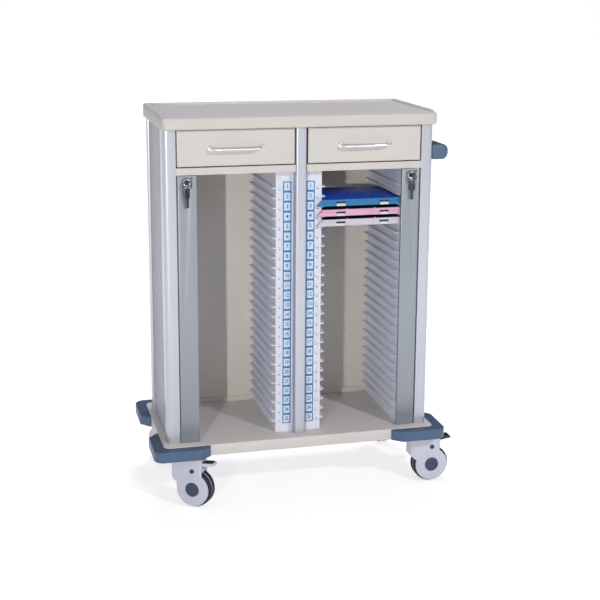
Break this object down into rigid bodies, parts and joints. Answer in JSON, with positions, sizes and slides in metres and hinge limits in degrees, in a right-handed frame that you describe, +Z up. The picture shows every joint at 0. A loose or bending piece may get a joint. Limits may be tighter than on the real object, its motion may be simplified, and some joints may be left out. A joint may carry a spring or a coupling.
{
  "type": "medical chart trolley",
  "caption": "Upright chart trolley on casters: two open bays with slotted racks behind hinged lock bars, drawers under a rimmed top, a side push handle and corner bumpers.",
  "frame": {"origin": "on the floor under the middle of the outline, bumpers, handle and wheels included", "axes": "+Z up, the front with the drawers and bays faces -Y, the push handle is at +X"},
  "size_m": [0.83, 0.44, 1.028],
  "materials": {
    "abs_beige": "satin",
    "aluminium": "satin anodised",
    "panel_grey": "satin powder coat",
    "panel_beige": "satin powder coat",
    "drawer_beige": "satin powder coat",
    "lock_bar_steel": "brushed",
    "steel": "plain",
    "chrome": "polished",
    "rack_white": "satin",
    "strip_white": "printed label strip",
    "guard_blue": "fine grain",
    "handle_blue": "fine grain",
    "caster_grey": "satin",
    "tyre": "matt",
    "cap_grey": "satin",
    "pedal_dark": "satin",
    "folder_blue": "satin",
    "folder_pink": "satin",
    "folder_white": "satin"
  },
  "bodies": {
    "frame": {"top_board": "abs_beige", "base_board": "abs_beige", "tie_rods": "steel", "centre_post": "aluminium", "back_panel": "panel_beige", "divider_panel": "panel_beige", "drawer_shelves": "drawer_beige", "push_handle": "handle_blue", "slot_runners": "rack_white", "number_strips": "strip_white", "drawer_outer_rails": "steel", "lock_bar_pivots": "steel", "caster_plates": "steel", "folder_clips": "steel", "chart_folder_blue": "folder_blue", "chart_folder_pink": "folder_pink", "chart_folder_white": "folder_white", "rack_column_left_outer": "rack_white", "rack_column_left_inner": "rack_white", "rack_column_right_inner": "rack_white", "rack_column_right_outer": "rack_white", "front_post_left": "aluminium", "bumper_front_left": "guard_blue", "front_post_right": "aluminium", "bumper_front_right": "guard_blue", "rear_post_left": "aluminium", "bumper_rear_left": "guard_blue", "rear_post_right": "aluminium", "bumper_rear_right": "guard_blue", "side_panel_left": "panel_grey", "side_panel_right": "panel_grey"},
    "drawer_left": {"drawer_box_left": "drawer_beige", "drawer_front_left": "drawer_beige", "drawer_handle_left": "chrome", "drawer_inner_rails_left": "steel"},
    "lock_bar_left": {"lock_bar_left": "lock_bar_steel", "lock_case_left": "chrome"},
    "lock_key_left": {"lock_key_left": "chrome"},
    "drawer_right": {"drawer_box_right": "drawer_beige", "drawer_front_right": "drawer_beige", "drawer_handle_right": "chrome", "drawer_inner_rails_right": "steel"},
    "lock_bar_right": {"lock_bar_right": "lock_bar_steel", "lock_case_right": "chrome"},
    "lock_key_right": {"lock_key_right": "chrome"},
    "caster_front_left": {"caster_shell_front_left": "caster_grey", "caster_axle_front_left": "cap_grey"},
    "wheel_front_left": {"caster_wheel_front_left": "tyre"},
    "pedal_front_left": {"brake_pedal_front_left": "pedal_dark"},
    "caster_front_right": {"caster_shell_front_right": "caster_grey", "caster_axle_front_right": "cap_grey"},
    "wheel_front_right": {"caster_wheel_front_right": "tyre"},
    "pedal_front_right": {"brake_pedal_front_right": "pedal_dark"},
    "caster_rear_left": {"caster_shell_rear_left": "caster_grey", "caster_axle_rear_left": "cap_grey"},
    "wheel_rear_left": {"caster_wheel_rear_left": "tyre"},
    "caster_rear_right": {"caster_shell_rear_right": "caster_grey", "caster_axle_rear_right": "cap_grey"},
    "wheel_rear_right": {"caster_wheel_rear_right": "tyre"}
  },
  "joints": [
    {"name": "drawer_left_slide", "type": "slide", "parent": "frame", "child": "drawer_left", "axis": [0, -1, 0], "range_m": [0, 0.22]},
    {"name": "lock_bar_left_hinge", "type": "hinge", "parent": "frame", "child": "lock_bar_left", "pos_m": [-0.3345, -0.159, 0.5255], "axis": [0, 0, -1], "range_deg": [0, 90]},
    {"name": "lock_key_left_turn", "type": "hinge", "parent": "lock_bar_left", "child": "lock_key_left", "pos_m": [-0.3145, -0.164, 0.86], "axis": [0, -1, 0], "range_deg": [0, 90]},
    {"name": "drawer_right_slide", "type": "slide", "parent": "frame", "child": "drawer_right", "axis": [0, -1, 0], "range_m": [0, 0.22]},
    {"name": "lock_bar_right_hinge", "type": "hinge", "parent": "frame", "child": "lock_bar_right", "pos_m": [0.2965, -0.159, 0.5255], "axis": [0, 0, 1], "range_deg": [0, 90]},
    {"name": "lock_key_right_turn", "type": "hinge", "parent": "lock_bar_right", "child": "lock_key_right", "pos_m": [0.2765, -0.164, 0.86], "axis": [0, 1, 0], "range_deg": [0, 90]},
    {"name": "caster_front_left_swivel", "type": "hinge", "parent": "frame", "child": "caster_front_left", "pos_m": [-0.335, -0.144, 0.12], "axis": [0, 0, 1], "continuous": true},
    {"name": "wheel_front_left_roll", "type": "hinge", "parent": "caster_front_left", "child": "wheel_front_left", "pos_m": [-0.30264, -0.16751, 0.05], "axis": [0.5878, 0.809, 0], "continuous": true},
    {"name": "brake_pedal_front_left_press", "type": "hinge", "parent": "caster_front_left", "child": "pedal_front_left", "pos_m": [-0.29617, -0.17221, 0.116], "axis": [0.5878, 0.809, 0], "range_deg": [0, 15]},
    {"name": "caster_front_right_swivel", "type": "hinge", "parent": "frame", "child": "caster_front_right", "pos_m": [0.317, -0.144, 0.12], "axis": [0, 0, 1], "continuous": true},
    {"name": "wheel_front_right_roll", "type": "hinge", "parent": "caster_front_right", "child": "wheel_front_right", "pos_m": [0.357, -0.144, 0.05], "axis": [0, 1, 0], "continuous": true},
    {"name": "brake_pedal_front_right_press", "type": "hinge", "parent": "caster_front_right", "child": "pedal_front_right", "pos_m": [0.365, -0.144, 0.116], "axis": [0, 1, 0], "range_deg": [0, 15]},
    {"name": "caster_rear_left_swivel", "type": "hinge", "parent": "frame", "child": "caster_rear_left", "pos_m": [-0.335, 0.13, 0.12], "axis": [0, 0, 1], "continuous": true},
    {"name": "wheel_rear_left_roll", "type": "hinge", "parent": "caster_rear_left", "child": "wheel_rear_left", "pos_m": [-0.34468, 0.16881, 0.05], "axis": [-0.9703, -0.2419, 0], "continuous": true},
    {"name": "caster_rear_right_swivel", "type": "hinge", "parent": "frame", "child": "caster_rear_right", "pos_m": [0.317, 0.13, 0.12], "axis": [0, 0, 1], "continuous": true},
    {"name": "wheel_rear_right_roll", "type": "hinge", "parent": "caster_rear_right", "child": "wheel_rear_right", "pos_m": [0.317, 0.17, 0.05], "axis": [-1, 0, 0], "continuous": true}
  ]
}
